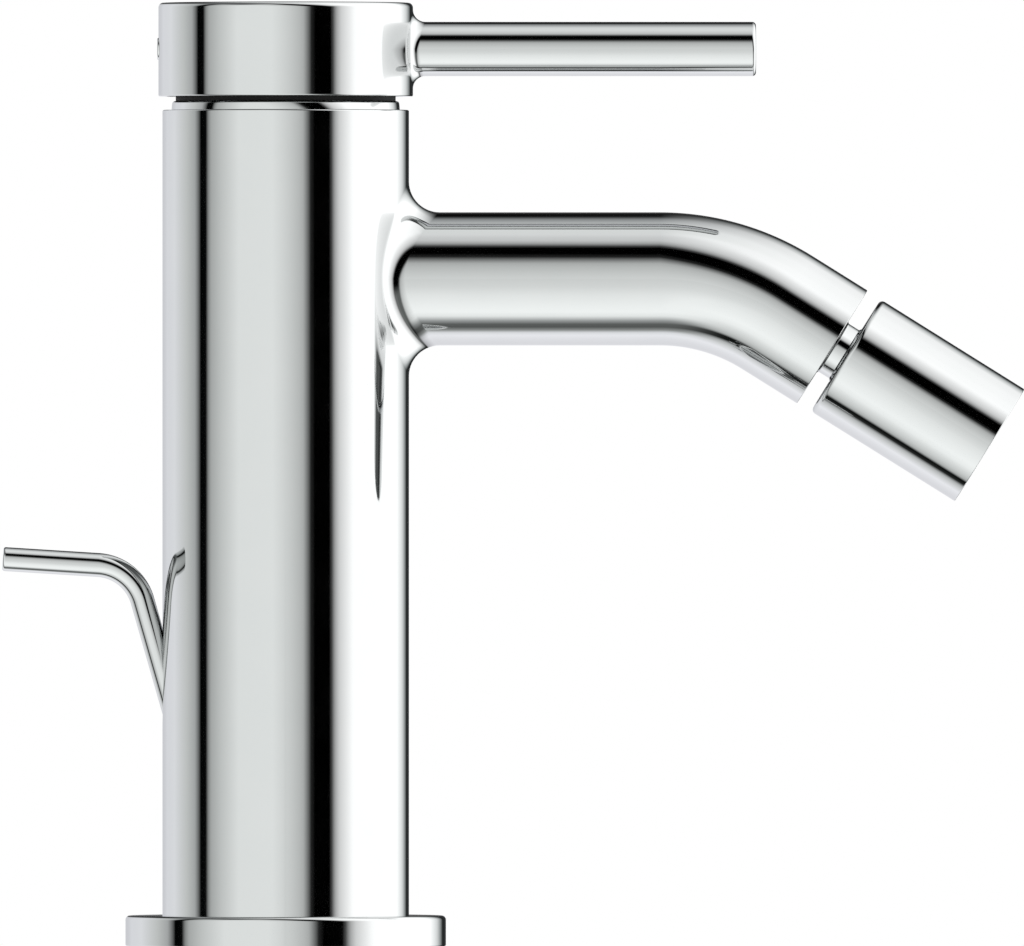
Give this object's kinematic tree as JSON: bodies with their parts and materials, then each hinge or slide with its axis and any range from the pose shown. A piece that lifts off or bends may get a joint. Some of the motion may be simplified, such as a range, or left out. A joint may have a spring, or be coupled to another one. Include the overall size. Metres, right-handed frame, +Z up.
{
  "type": "bidet mixer",
  "caption": "Single-lever deck-mounted bidet mixer: round column, bent spout with ball-jointed swivel aerator, tilting and turning lever cap, and a pop-up lift rod.",
  "frame": {"origin": "centre of the base flange's underside, on the column's axis, in the deck plane", "axes": "+Z up along the column, +X out along the spout, plane of symmetry at y = 0"},
  "size_m": [0.1659, 0.052, 0.2035],
  "materials": {
    "chrome": "polished chromium plate",
    "brass": "turned brass",
    "steel": "zinc plated or stainless steel",
    "ceramic": "lapped alumina ceramic",
    "plastic": "moulded acetal",
    "rubber": "moulded nitrile rubber"
  },
  "bodies": {
    "fixed": {"body": "chrome", "base_flange": "chrome", "base_seal": "rubber", "neck_ring": "chrome", "wiper_ring": "rubber", "cartridge_nut": "brass", "cartridge_housing": "plastic", "cartridge_base": "plastic", "cartridge_seals": "rubber", "fixed_disc": "ceramic", "ball_nipple": "chrome", "nipple_o_ring": "rubber", "rod_bush": "plastic", "fixing_studs": "steel", "clamp_gasket": "rubber", "clamp_washer": "steel", "fixing_nuts": "steel"},
    "turret": {"rotor": "plastic", "pivot_pin": "steel"},
    "lever": {"handle": "chrome", "stem": "steel", "grub_screw": "steel", "index_plug": "chrome"},
    "discs": {"moving_disc": "ceramic", "disc_carrier": "plastic"},
    "ball_cup": {"ball_seat": "plastic"},
    "head": {"swivel_sleeve": "chrome", "clamp_ring": "brass", "aerator_washer": "rubber", "aerator_screen": "steel", "flow_straightener": "plastic", "aerator_body": "plastic"},
    "rod": {"lift_rod": "chrome"}
  },
  "joints": [
    {"name": "temperature_turn", "type": "hinge", "parent": "fixed", "child": "turret", "pos_m": [0, 0, 0.1287], "axis": [0, 0, 1], "range_deg": [-50, 50]},
    {"name": "flow_tilt", "type": "hinge", "parent": "turret", "child": "lever", "pos_m": [0, 0, 0.1287], "axis": [0, -1, 0], "range_deg": [0, 20]},
    {"name": "disc_slide", "type": "slide", "parent": "turret", "child": "discs", "axis": [1, 0, 0], "range_m": [0, 0.0022]},
    {"name": "head_pitch", "type": "hinge", "parent": "fixed", "child": "ball_cup", "pos_m": [0.09614, 0, 0.0926], "axis": [0, 1, 0], "range_deg": [-10, 10]},
    {"name": "head_yaw", "type": "hinge", "parent": "ball_cup", "child": "head", "pos_m": [0.09614, 0, 0.0926], "axis": [0.5299, 0, 0.848], "range_deg": [-10, 10]},
    {"name": "rod_lift", "type": "slide", "parent": "fixed", "child": "rod", "axis": [-0.2756, 0, 0.9613], "range_m": [0, 0.022]}
  ],
  "couplings": [
    {"joint": "disc_slide", "follows": "flow_tilt", "m_per_rad": 0.0062}
  ]
}
